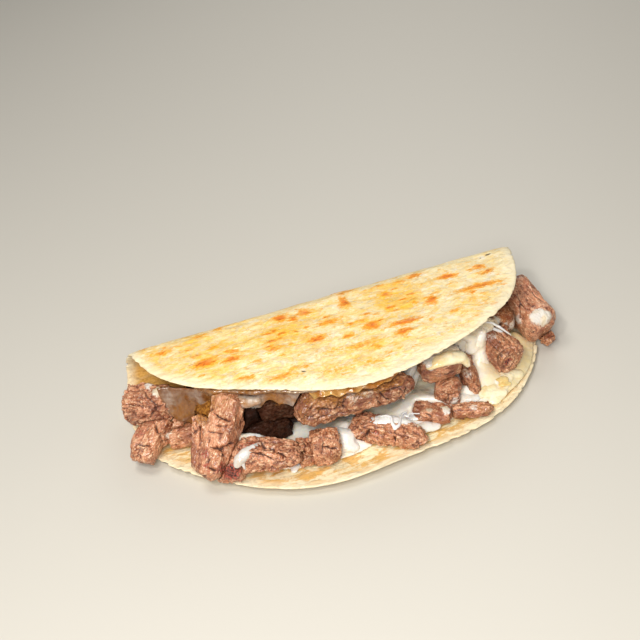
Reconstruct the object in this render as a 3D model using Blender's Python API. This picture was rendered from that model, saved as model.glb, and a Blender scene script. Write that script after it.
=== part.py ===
"""A steak quesadilla: one flour tortilla folded over strips of grilled steak and melted cheese.

Metres, +Z up. +X runs along the fold, from the open left end to the right one, and the fold is at +Y.
The origin is on the flat underside, near its middle.
"""

import math

import bmesh
import bpy
import numpy as np
from mathutils import Vector, noise

MM = 0.001

# The tortilla: a nearly round disc, folded across a line a little behind its middle.
TORTILLA_RADIUS = 100.3 * MM
TORTILLA_THICKNESS = 2.2 * MM
TORTILLA_CELLS = (26, 30)
RIM_THINNING = 0.35
# The waves of the uneven rim: how many go round, their share of the radius, their turn in degrees.
RIM_WAVES = [
    (1, 0.013, -110), (2, 0.023, 60), (3, 0.014, -105),
    (4, 0.020, -165), (6, 0.009, 165), (7, 0.015, -60),
]
FOLD_TO_CENTRE = 10 * MM
FOLD_RADIUS = 17.2 * MM
FOLD_START_Y = 29.5 * MM
# The upper half rises from the fold, then droops towards its rim, and waves a little.
UPPER_RISE = math.radians(2.0)
UPPER_DROOP = math.radians(4.5)
UPPER_WAVE = 1.3 * MM
UPPER_WAVE_LENGTH = 34 * MM
# The rim of the lower half lifts over the outer share of the radius, unevenly.
LIP_LIFT = 2.6 * MM
LIP_START = 0.84
LIP_UNEVENNESS = 0.6
# What lifts less than this is left flat, so that the tortilla has a true face to rest on.
FLAT_WITHIN = 0.02 * MM

# Neighbours are fitted to each other with this gap, and cheese lies a little farther from the tortilla.
GAP = 0.35 * MM
LAYER_GAP = 0.45 * MM

# Melted cheese on the lower half: how far it has run from its middle, by direction in degrees.
POOL_MIDDLE = (6 * MM, 0.0)
POOL_REACH = [
    (0, 84 * MM), (30, 76 * MM), (60, 42 * MM), (90, 32 * MM), (120, 38 * MM), (150, 62 * MM),
    (180, 78 * MM), (205, 66 * MM), (230, 47 * MM), (255, 35 * MM), (275, 36 * MM), (300, 39 * MM),
    (320, 49 * MM), (335, 66 * MM), (347, 76 * MM), (360, 84 * MM),
]
POOL_CELLS = (24, 16)
POOL_DEPTH = 2.4 * MM
POOL_RIPPLE = 0.35 * MM
POOL_RIPPLE_LENGTH = 9 * MM
# Places where the pool stands up between strips: x, y, spread, height.
POOL_MOUNDS = [
    (-14 * MM, -24 * MM, 8 * MM, 5.5 * MM),
    (24 * MM, -22 * MM, 11 * MM, 3.5 * MM),
    (57 * MM, -16 * MM, 15 * MM, 2.6 * MM),
    (78 * MM, -2 * MM, 12 * MM, 2.2 * MM),
]

# Melted cheese under the upper half: its ends along the fold, where it starts, how near the rim it comes.
ROOF_ENDS = (-82 * MM, 84 * MM)
ROOF_START = 12 * MM
ROOF_RIM_SHARE = 0.93
ROOF_RAGGEDNESS = 0.05
ROOF_CELLS = (20, 8)
ROOF_THICKNESS = 2.6 * MM
ROOF_LUMPINESS = 0.7
ROOF_LUMP_LENGTH = 10 * MM
# Places where its front hangs down: x, spread, drop.
ROOF_DRIPS = [
    (-62 * MM, 8 * MM, 9 * MM),
    (-42 * MM, 7 * MM, 3 * MM),
    (-24 * MM, 7 * MM, 5 * MM),
    (24 * MM, 8 * MM, 3 * MM),
    (62 * MM, 9 * MM, 3 * MM),
]
# A cheese layer thins to this share of its thickness at its edge.
CHEESE_EDGE = 0.25

# The steak that runs through to the fold, behind the strips that show.
FILLING_MIDDLE = (4 * MM, 14.5 * MM, 18.3 * MM)
FILLING_SIZE = (156 * MM, 57 * MM, 25 * MM)
FILLING_CELL = 9.6 * MM

# The strips that show: name, middle, (length, width, thickness), (roll, pitch, yaw) in degrees, and
# how much thinner the far end of the strip is. The lengths are in millimetres.
STRIPS = [
    ("steak_long_top", (-7, -24, 23.5), (54, 15, 14), (6, 0, -4), 0.15),
    ("steak_tall_left", (-67.5, -17.0, 19.0), (40, 15, 13), (0, 40, -129), 0.10),
    ("steak_left_upper", (-91.5, 17.0, 20.0), (25, 17, 16), (8, -6, -25), 0.10),
    ("steak_left_lower", (-95.5, 3.5, 9.6), (23, 17, 14), (0, 14, -128), 0.35),
    ("steak_left_flap", (-84.5, 8.0, 14.4), (14, 8, 4), (24, 6, -28), 0.20),
    ("steak_left_small", (-79.0, 3.5, 8.2), (18, 12, 9), (0, 0, -14), 0.10),
    ("steak_tall_side", (-75.5, -10.5, 13.0), (26, 10, 11), (0, 34, -122), 0.25),
    ("steak_charred_tip", (-66.5, -28.0, 7.8), (14, 13, 10.5), (0, 0, -30), 0.10),
    ("steak_front_wedge", (-50.0, -28.5, 11.0), (30, 21, 14), (-16, 2, -22), 0.35),
    ("steak_front_sliver", (-33.8, -31.5, 8.8), (8, 14, 12), (-6, 0, -6), 0.10),
    ("steak_front_cube", (-25.0, -32.5, 9.8), (14, 15, 13.5), (-8, 0, -8), 0.05),
    ("steak_back_low", (-45.0, -12.0, 10.0), (24, 13, 12), (0, 0, 4), 0.10),
    ("steak_back_high", (-37.0, -10.5, 20.5), (22, 13, 11), (0, 8, -6), 0.10),
    ("steak_middle_tail", (3.0, -34.5, 7.6), (37, 14, 11.5), (0, 2, -38), 0.25),
    ("steak_right_flat", (26.0, -29.5, 6.8), (19, 11, 7.5), (0, 3, -24), 0.20),
    ("steak_right_scrap", (42.5, -34.0, 6.0), (20, 8, 6.5), (0, 0, -14), 0.25),
    ("steak_right_cube", (36.5, -22.0, 11.0), (13, 12.5, 12.5), (6, 0, -22), 0.05),
    ("steak_right_capped", (35.5, -16.5, 22.6), (21, 15, 12), (4, 0, -16), 0.15),
    ("steak_right_strip", (49.5, -11.0, 9.5), (33, 9, 9), (0, 12, -98), 0.20),
    ("steak_right_end", (66.5, -6.5, 13.5), (28, 15, 16), (0, 10, -78), 0.05),
    ("steak_far_right", (89.5, 12.0, 15.6), (33, 20, 18), (0, 14, -72), 0.15),
    ("steak_far_scrap", (95.0, 0.5, 5.2), (11, 7, 6), (0, 0, -80), 0.10),
]
STRIP_CELL = 5.4 * MM
# A strip is a block with rounded edges, bent along its length, with lumps and notches of these sizes.
SQUARENESS = 4.6
BEND = 0.12
LUMP = 0.11
LUMP_LENGTH = 8 * MM
FINE_LUMP_LENGTH = 3.6 * MM
NOTCH = 0.09
NOTCH_LENGTH = 7 * MM

SHARP_ANGLE = math.radians(50)

TORTILLA_CREAM = (0.86, 0.70, 0.42)
STEAK_BROWN = (0.30, 0.15, 0.11)
CHEESE_IVORY = (0.84, 0.79, 0.64)


def clear_scene():
    for obj in list(bpy.data.objects):
        bpy.data.objects.remove(obj)


def material(name, colour, roughness):
    made = bpy.data.materials.new(name)
    made.use_nodes = True
    shader = made.node_tree.nodes["Principled BSDF"]
    shader.inputs["Base Color"].default_value = (*colour, 1.0)
    shader.inputs["Roughness"].default_value = roughness
    shader.inputs["Metallic"].default_value = 0.0
    return made


def smooth_noise(x, y, z):
    """Smooth noise, about -1 to 1, at each point that three arrays or numbers give."""
    points = np.stack(np.broadcast_arrays(x, y, z), -1)
    values = [noise.noise(Vector(point)) for point in points.reshape(-1, 3)]
    return np.array(values).reshape(points.shape[:-1])


def smoothstep(t):
    t = np.clip(t, 0.0, 1.0)
    return t * t * (3 - 2 * t)


def rim_radius(angle):
    """Radius of the flat tortilla in each direction from its centre."""
    waves = sum(share * np.cos(count * angle - math.radians(turn)) for count, share, turn in RIM_WAVES)
    return TORTILLA_RADIUS * (1 + waves)


def fold_profile(s):
    """Where the folded sheet's mid-surface is at arc length s from the fold: y, z and its heading.

    s is negative on the lower half, which lies flat, and positive on the upper half.
    """
    half_arc = FOLD_RADIUS * math.pi / 2
    steps = np.linspace(-1.3 * TORTILLA_RADIUS, 1.3 * TORTILLA_RADIUS, 2001)
    turned = math.pi - UPPER_RISE
    along_upper = (steps - half_arc) / TORTILLA_RADIUS
    in_arc = turned * np.clip((steps + half_arc) / (2 * half_arc), 0, 1)
    heading = np.where(steps < half_arc, in_arc, turned + (UPPER_RISE + UPPER_DROOP) * along_upper)
    middle = (heading[1:] + heading[:-1]) / 2
    step = steps[1] - steps[0]
    y = np.concatenate([[0.0], np.cumsum(np.cos(middle) * step)])
    z = np.concatenate([[0.0], np.cumsum(np.sin(middle) * step)])
    y += FOLD_START_Y - np.interp(-half_arc, steps, y)
    return np.interp(s, steps, y), np.interp(s, steps, z), np.interp(s, steps, heading)


def sheet_point(x, s, inward):
    """Points of the folded sheet. inward is the distance from the mid-surface towards the filling."""
    y, z, heading = fold_profile(s)
    angle = np.arctan2(s + FOLD_TO_CENTRE, x)
    share = np.hypot(x, s + FOLD_TO_CENTRE) / rim_radius(angle)
    upper = smoothstep((s - FOLD_RADIUS) / (2 * FOLD_RADIUS))
    lower = smoothstep(-s / FOLD_RADIUS)
    wave = UPPER_WAVE * smooth_noise(x / UPPER_WAVE_LENGTH + 3.1, s / UPPER_WAVE_LENGTH, 0.7)
    uneven = 1 + LIP_UNEVENNESS * smooth_noise(1.7 * np.cos(angle), 1.7 * np.sin(angle), 5.3)
    lift = LIP_LIFT * uneven * np.clip((share - LIP_START) / (1 - LIP_START), 0, 1.1) ** 2
    z = z + TORTILLA_THICKNESS / 2 + wave * upper + lift * lower
    return np.stack([x, y - np.sin(heading) * inward, z + np.cos(heading) * inward], -1)


def square_to_disc(cells):
    """A grid of points over the unit disc: x, y, and each point's distance from the middle."""
    u, v = np.meshgrid(*(np.linspace(-1, 1, count + 1) for count in cells), indexing="ij")
    x, y = u * np.sqrt(1 - v * v / 2), v * np.sqrt(1 - u * u / 2)
    return x, y, np.hypot(x, y)


def object_from(name, points, faces, look):
    mesh = bpy.data.meshes.new(name)
    mesh.from_pydata([tuple(point) for point in points], [], faces)
    mesh.materials.append(look)
    edit = bmesh.new()
    edit.from_mesh(mesh)
    bmesh.ops.recalc_face_normals(edit, faces=edit.faces)
    bmesh.ops.triangulate(edit, faces=edit.faces)
    edit.to_mesh(mesh)
    edit.free()
    mesh.shade_smooth()
    obj = bpy.data.objects.new(name, mesh)
    bpy.context.scene.collection.objects.link(obj)
    return obj


def slab(name, outer, inner, look):
    """A closed solid between two grids of points of the same shape."""
    rows, columns = outer.shape[:2]
    count = rows * columns
    index = np.arange(count).reshape(rows, columns)
    faces = []
    for i in range(rows - 1):
        for j in range(columns - 1):
            ring = [int(k) for k in (index[i, j], index[i + 1, j], index[i + 1, j + 1], index[i, j + 1])]
            faces.append(ring)
            faces.append([k + count for k in reversed(ring)])
    rim = [int(k) for k in (*index[:, 0], *index[-1, 1:], *index[-2::-1, -1], *index[0, -2:0:-1])]
    for a, b in zip(rim, rim[1:] + rim[:1]):
        faces.append([b, a, a + count, b + count])
    points = np.concatenate([outer.reshape(-1, 3), inner.reshape(-1, 3)])
    return object_from(name, points, faces, look)


def tortilla(name, extra, look):
    """The folded tortilla, swollen by extra on every side."""
    x, y, share = square_to_disc(TORTILLA_CELLS)
    reach = rim_radius(np.arctan2(y, x)) + extra * share
    x, s = x * reach, y * reach - FOLD_TO_CENTRE
    half = TORTILLA_THICKNESS / 2 * (1 - RIM_THINNING * share**14) + extra
    outer, inner = sheet_point(x, s, -half), sheet_point(x, s, half)
    height = outer[..., 2]
    height[np.abs(height) < FLAT_WITHIN] = 0.0
    return slab(name, outer, inner, look)


def cheese_pool(look):
    """The cheese that has run over the lower half of the tortilla."""
    x, y, share = square_to_disc(POOL_CELLS)
    directions, reaches = zip(*POOL_REACH)
    reach = np.interp(np.degrees(np.arctan2(y, x)) % 360, directions, reaches)
    x = POOL_MIDDLE[0] + x * reach
    y = POOL_MIDDLE[1] + y * reach
    inside = np.sqrt(np.clip(1 - share**8, 0, 1))
    depth = POOL_DEPTH * (CHEESE_EDGE + (1 - CHEESE_EDGE) * inside)
    depth += POOL_RIPPLE * smooth_noise(x / POOL_RIPPLE_LENGTH, y / POOL_RIPPLE_LENGTH, 2.2) * inside
    for middle_x, middle_y, spread, height in POOL_MOUNDS:
        depth += height * inside * np.exp(-((x - middle_x) ** 2 + (y - middle_y) ** 2) / spread**2)
    floor = np.full_like(x, TORTILLA_THICKNESS + LAYER_GAP)
    return slab("cheese_pool", np.stack([x, y, floor], -1), np.stack([x, y, floor + depth], -1), look)


def cheese_roof(look):
    """The cheese that sticks to the underside of the upper half."""
    along, across = np.meshgrid(*(np.linspace(0, 1, count + 1) for count in ROOF_CELLS), indexing="ij")
    x = ROOF_ENDS[0] + along * (ROOF_ENDS[1] - ROOF_ENDS[0])
    ragged = 1 + ROOF_RAGGEDNESS * smooth_noise(x / ROOF_LUMP_LENGTH, 0.4, 8.8)
    front = ROOF_RIM_SHARE * ragged * np.sqrt(TORTILLA_RADIUS**2 - x**2) - FOLD_TO_CENTRE
    s = ROOF_START + across * (front - ROOF_START)
    from_edge = np.minimum(np.minimum(along, 1 - along) * 9, np.minimum(across, 1 - across) * 6)
    inside = smoothstep(from_edge)
    lumps = 1 + ROOF_LUMPINESS * smooth_noise(x / ROOF_LUMP_LENGTH, s / ROOF_LUMP_LENGTH, 4.1)
    thick = ROOF_THICKNESS * (CHEESE_EDGE + (1 - CHEESE_EDGE) * inside) * lumps
    for middle_x, spread, drop in ROOF_DRIPS:
        thick += drop * inside * np.exp(-(((x - middle_x) / spread) ** 2)) * smoothstep(2 * across - 0.8)
    top = TORTILLA_THICKNESS / 2 + LAYER_GAP
    return slab("cheese_roof", sheet_point(x, s, top), sheet_point(x, s, top + thick), look)


def block_grid(cells):
    """Points on the faces of a cube from -1 to 1, cut into cells, and the faces between them."""
    index = {}
    faces = []
    for axis in range(3):
        across, up = (axis + 1) % 3, (axis + 2) % 3
        for end in (0, cells[axis]):
            for i in range(cells[across]):
                for j in range(cells[up]):
                    ring = []
                    for di, dj in ((0, 0), (1, 0), (1, 1), (0, 1)):
                        corner = [0, 0, 0]
                        corner[axis], corner[across], corner[up] = end, i + di, j + dj
                        ring.append(index.setdefault(tuple(corner), len(index)))
                    faces.append(ring if end else ring[::-1])
    return 2 * np.array(list(index)) / cells - 1, faces


def steak(name, size, middle, turn, taper, cell, seed, look):
    """A lumpy block of steak with rounded edges, thinner towards its own +X."""
    size = np.array(size)
    cube, faces = block_grid([max(2, round(length / cell)) for length in size])
    ball = cube / (np.abs(cube) ** SQUARENESS).sum(1, keepdims=True) ** (1 / SQUARENESS)
    length, width, height = (ball * size / 2).T
    notch = 1 - NOTCH * smooth_noise(2 * length / NOTCH_LENGTH, seed, 0.5)
    thin = (1 - taper * (ball[:, 0] + 1) / 2) * notch
    bend = BEND * np.sin(1.6 * ball[:, 0] + seed) * min(size[1], size[0] / 3)
    body = np.stack([length, width * thin + bend, height * thin], -1)
    coarse = smooth_noise(*(body.T / LUMP_LENGTH + 3.7 * seed))
    fine = smooth_noise(*(body.T / FINE_LUMP_LENGTH - 2.3 * seed))
    outward = ball / np.linalg.norm(ball, axis=1, keepdims=True)
    body += outward * (LUMP * size.min() * (coarse + 0.5 * fine))[:, None]
    made = object_from(name, body, faces, look)
    made.location = middle
    made.rotation_euler = [math.radians(degrees) for degrees in turn]
    return made


def as_guide(obj):
    obj.hide_render = True
    obj.display_type = "WIRE"
    return obj


def cutter_for(obj):
    """A copy of obj, swollen by the gap, to cut its neighbours with."""
    cutter = obj.copy()
    cutter.data = obj.data.copy()
    cutter.name = "cutter_" + obj.name
    for vertex, source in zip(cutter.data.vertices, obj.data.vertices):
        vertex.co = source.co + source.normal * GAP
    bpy.context.scene.collection.objects.link(cutter)
    return as_guide(cutter)


def world_box(obj):
    corners = np.array([tuple(obj.matrix_world @ vertex.co) for vertex in obj.data.vertices])
    return corners.min(0), corners.max(0)


def boxes_meet(a, b):
    (low_a, high_a), (low_b, high_b) = world_box(a), world_box(b)
    return bool((low_a < high_b).all() and (low_b < high_a).all())


def extent(body):
    """A body's rough size, to compare it with others."""
    points = np.array([tuple(vertex.co) for vertex in body])
    return float(np.prod(np.ptp(points, axis=0) + MM))


def bodies_of(edit):
    """The sets of connected vertices."""
    left, bodies = set(edit.verts), []
    while left:
        front = [left.pop()]
        body = set(front)
        while front:
            for edge in front.pop().link_edges:
                for vertex in edge.verts:
                    if vertex in left:
                        left.remove(vertex)
                        body.add(vertex)
                        front.append(vertex)
        bodies.append(body)
    return bodies


def keep_largest_body(mesh):
    """Drops the loose scraps that cutting leaves, and the slivers along the cuts."""
    edit = bmesh.new()
    edit.from_mesh(mesh)
    largest = max(bodies_of(edit), key=extent)
    scraps = [vertex for vertex in edit.verts if vertex not in largest]
    bmesh.ops.delete(edit, geom=scraps, context="VERTS")
    bmesh.ops.triangulate(edit, faces=edit.faces)
    bmesh.ops.dissolve_degenerate(edit, dist=0.005 * MM, edges=edit.edges)
    bmesh.ops.triangulate(edit, faces=edit.faces)
    edit.to_mesh(mesh)
    edit.free()


def fit_between(obj, cutters):
    """Cuts obj back from each cutter that it meets, and keeps its largest body."""
    bpy.context.view_layer.update()
    for cutter in cutters:
        if boxes_meet(obj, cutter):
            cut = obj.modifiers.new("fit", "BOOLEAN")
            cut.operation = "DIFFERENCE"
            cut.object = cutter
    graph = bpy.context.evaluated_depsgraph_get()
    fitted = bpy.data.meshes.new_from_object(obj.evaluated_get(graph))
    obj.modifiers.clear()
    obj.data = fitted
    keep_largest_body(fitted)
    fitted.shade_smooth()
    fitted.set_sharp_from_angle(angle=SHARP_ANGLE)


def main():
    """Makes the tortilla, then each piece in turn, cut back from those that are already there."""
    clear_scene()
    dough = material("toasted_tortilla", TORTILLA_CREAM, 0.65)
    meat = material("grilled_steak", STEAK_BROWN, 0.45)
    melted = material("melted_cheese", CHEESE_IVORY, 0.30)

    tortilla("tortilla", 0.0, dough)
    cutters = [as_guide(tortilla("cutter_tortilla", GAP, dough))]
    for number, (name, middle, size, turn, taper) in enumerate(STRIPS):
        middle = [length * MM for length in middle]
        size = [length * MM for length in size]
        strip = steak(name, size, middle, turn, taper, STRIP_CELL, 1.3 + number, meat)
        cutter = cutter_for(strip)
        fit_between(strip, cutters)
        cutters.append(cutter)
    for make_layer in (cheese_pool, cheese_roof):
        layer = make_layer(melted)
        cutter = cutter_for(layer)
        fit_between(layer, cutters)
        cutters.append(cutter)
    filling = steak("steak_filling", FILLING_SIZE, FILLING_MIDDLE, (0, 0, 0), 0.0, FILLING_CELL, 0.6, meat)
    fit_between(filling, cutters)
    for cutter in cutters:
        bpy.data.objects.remove(cutter)


main()
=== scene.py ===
"""The dressed steak quesadilla: its finished surfaces, camera and light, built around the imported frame."""

import math

import bmesh
import bpy
import numpy as np
from mathutils import Matrix, Vector, noise

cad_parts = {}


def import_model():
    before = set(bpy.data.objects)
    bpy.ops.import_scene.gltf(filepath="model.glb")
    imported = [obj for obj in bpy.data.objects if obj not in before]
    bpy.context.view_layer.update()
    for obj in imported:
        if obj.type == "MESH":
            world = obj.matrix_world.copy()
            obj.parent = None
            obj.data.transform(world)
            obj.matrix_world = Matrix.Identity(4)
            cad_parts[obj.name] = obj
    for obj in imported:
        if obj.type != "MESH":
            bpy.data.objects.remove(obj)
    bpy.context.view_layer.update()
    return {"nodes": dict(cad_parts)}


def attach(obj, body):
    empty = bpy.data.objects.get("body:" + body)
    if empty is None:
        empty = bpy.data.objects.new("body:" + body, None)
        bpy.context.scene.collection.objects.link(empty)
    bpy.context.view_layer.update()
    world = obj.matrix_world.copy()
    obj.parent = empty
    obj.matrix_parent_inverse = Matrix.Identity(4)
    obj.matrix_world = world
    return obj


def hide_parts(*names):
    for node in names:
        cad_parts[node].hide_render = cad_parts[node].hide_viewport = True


# Lengths in the lists below are in millimetres.
MM = 0.001

# The folded tortilla, with the same dimensions as the solid that it replaces.
TORTILLA_RADIUS = 100.3 * MM
TORTILLA_THICKNESS = 2.2 * MM
RIM_THINNING = 0.35
RIM_WAVES = [
    (1, 0.013, -110), (2, 0.023, 60), (3, 0.014, -105),
    (4, 0.020, -165), (6, 0.009, 165), (7, 0.015, -60),
]
FOLD_TO_CENTRE = 10 * MM
FOLD_RADIUS = 17.2 * MM
FOLD_START_Y = 29.5 * MM
UPPER_RISE = math.radians(2)
UPPER_DROOP = math.radians(4.5)
UPPER_WAVE = 1.3 * MM
UPPER_WAVE_LENGTH = 34 * MM
LIP_LIFT = 2.6 * MM
LIP_START = 0.84
LIP_UNEVENNESS = 0.6
TORTILLA_CELLS = (196, 190)

# Toasted spots on the upper half: along the fold, arc length from the fold's back, half length, half width,
# and how dark.
TOASTED_SPOTS = [
    (-88, 19.5, 6, 1.6, 0.6), (-79.5, 29.5, 4.5, 1.8, 0.8), (-61.5, 24, 4, 1.8, 0.7),
    (-53, 23, 5, 1.4, 0.6), (-63.5, 46.5, 6.5, 2.4, 1), (-52, 49.5, 5, 1.9, 0.9),
    (-33, 51.5, 4, 1.6, 0.8), (-23.5, 28.5, 4, 2.6, 1), (-18.5, 32, 3, 2, 0.9),
    (-12.5, 29, 5.5, 2.2, 0.8), (-4.5, 41.5, 7, 1.8, 0.8), (-13, 51.5, 6, 1.9, 0.9),
    (-49.5, 64.5, 6, 1.8, 0.75), (-35, 70.5, 9, 1.9, 0.75), (9, 21.5, 7, 2, 0.8),
    (6.5, 30, 2.6, 4.6, 0.95), (26, 33, 4, 2.1, 0.8), (43, 24.5, 5, 1.8, 0.8), (35.5, 26.5, 4, 1.4, 0.7),
    (56.5, 33, 6, 1.6, 1), (73, 32.5, 4, 1.8, 0.8), (75, 37.5, 6, 1.6, 0.75),
    (66.5, 47.5, 14, 1.8, 0.85), (43, 47.5, 3.4, 2.8, 1), (26.5, 58, 9, 1.7, 0.95),
    (23.5, 64.5, 5, 2.2, 0.9), (12, 53.5, 5, 2.6, 0.9), (0.5, 56, 4, 1.6, 0.85), (4.5, 64.5, 11, 2, 0.7),
    (49, 71.5, 9, 3, 0.4), (49.5, 60.5, 4, 1.6, 0.7), (60, 56, 3, 1.4, 0.5), (63, 61, 3.4, 1.4, 0.5),
    (54, 64, 3, 1.3, 0.45), (-9, 62.5, 9, 2, 0.5), (-11.5, 75.5, 13, 2.6, 0.55), (5.5, 77.5, 9, 2, 0.6),
    (21.5, 76.5, 5, 2.4, 0.3), (-68, 33, 5, 1.4, 0.35), (-44, 41, 6, 1.6, 0.4), (-27, 40, 5, 1.5, 0.45),
    (33, 44, 5, 1.5, 0.5), (-40, 57, 5, 1.4, 0.4), (60, 40, 5, 1.3, 0.4), (-24, 60, 6, 1.6, 0.4),
    (40, 38, 4, 1.4, 0.5),
]
# Broad golden areas of the upper half: along the fold, arc length, half length, half width, strength.
GOLDEN_AREAS = [
    (-28, 42, 20, 11, 0.9), (-10, 36, 16, 9, 0.6), (28, 38, 16, 12, 0.9), (14, 50, 16, 10, 0.6),
    (-55, 52, 18, 9, 0.5), (5, 68, 22, 8, 0.6), (48, 68, 13, 8, 0.3), (-80, 24, 14, 8, 0.4),
    (-35, 68, 18, 6, 0.45), (-62, 36, 34, 26, 0.62), (58, 56, 12, 8, 0.5), (62, 30, 14, 8, 0.15),
]
# Charred specks: along the fold, arc length, half length, half width.
CHARRED_SPECKS = [
    (-26, 70.5, 1.5, 0.55), (81.5, 24, 1.6, 0.6), (-1, 46.5, 0.4, 0.4), (76, 26, 0.9, 0.4),
]
# Seeded toasted spots of the back and the underside: how many, and the limits of their place along the
# fold, arc length, half length, half width and strength.
HIDDEN_SPOTS = 70
HIDDEN_LIMITS = [(-88, 88), (-98, 16), (2.5, 8), (1.2, 2.6), (0.4, 1)]
# Seeded faint spots of the upper half: how many, and the limits of their place, strength and two sizes.
FAINT_SPOTS = 250
FAINT_LIMITS = [(-86, 80), (20, 80), (0.2, 0.6), (1.2, 4), (0.6, 1.2)]
# Where the back starts, as an arc length, and how golden it and the underside are.
BACK_EDGE = 16
BACK_GOLDEN = 0.45
# Grease on the inner face: where it starts, how wide its border is, and one more place, as above.
GREASE_START = -62
GREASE_BORDER = 34
GREASE_PLACE = (-60, -66, 14, 8, 1)
# Shifts that give each face and each strip its own part of the noise.
INNER_SHIFT = 50
GRAIN_SHIFT = 37

# How each strip of steak is finished, by its node's name after the first word: length and width of the
# bundles between its cracks, depth of the cracks, graininess, how brown it is, and how much painted shade it
# gets (for strips in shadow, in the hole behind the strips and under the tortilla's lip).
STEAK_FINISH = {
    "long_top": (8, 4.4, 2.1, 1.3, 0.65, 0.16),
    "tall_left": (12, 7, 1.1, 0.8, 0.25, 0),
    "left_upper": (6, 4.2, 2.4, 1.6, 0.25, 0.05),
    "left_lower": (9, 6, 1.2, 0.9, 0.3, 0),
    "left_flap": (8, 4, 0.6, 0.8, 0.4, 0.05),
    "left_small": (8, 5, 0.8, 0.9, 0.25, 0),
    "tall_side": (12, 3.2, 0.9, 0.9, 0.4, 0),
    "charred_tip": (7, 5, 0.9, 1.2, 0.15, 0),
    "front_wedge": (14, 3.4, 1.5, 1.5, 0.15, 0),
    "front_sliver": (9, 5, 0.8, 0.9, 0.35, 0),
    "front_cube": (9, 5, 0.9, 1.1, 0.3, 0),
    "back_low": (6, 3.6, 1.2, 1.5, 0.6, 0.96),
    "back_high": (6, 3.6, 1.1, 1.3, 0.4, 0.9),
    "middle_tail": (5, 3.4, 1.1, 1.5, 0.35, 0),
    "right_flat": (6, 4, 1.2, 1.1, 0.35, 0),
    "right_scrap": (6, 3.4, 0.8, 1.2, 0.45, 0),
    "right_cube": (9, 6, 1.5, 0.95, 0.35, 0.05),
    "right_capped": (8, 5, 1, 0.9, 0.5, 0.14),
    "right_strip": (9, 3.4, 0.8, 1.1, 0.55, 0.1),
    "right_end": (12, 3.6, 1.1, 1, 0.5, 0.05),
    "far_right": (11, 9, 0.3, 0.4, 0, 0),
    "far_scrap": (6, 4, 0.6, 1.1, 0.5, 0),
    "filling": (12, 8, 1.2, 1, 0.8, 0.99),
}
# Strips with even cuts across them: the cuts' spacing.
SLICED = {"front_sliver": 4}
SLICE_WIDTH = 0.42
SLICE_ROUNDING = 1.6
STEAK_VOXEL = 0.42 * MM
FILLING_VOXEL = 1.1 * MM
STEAK_SMOOTHING = 3
# How far the relief may go from the solid's surface, and how wide its cracks are.
MOST_OUTWARD = 0.9
MOST_INWARD = 2.6
CRACK_WIDTH = 0.4
SEAM_WIDTH = 0.045
CHIP_GAP_WIDTH = 0.12
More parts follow.
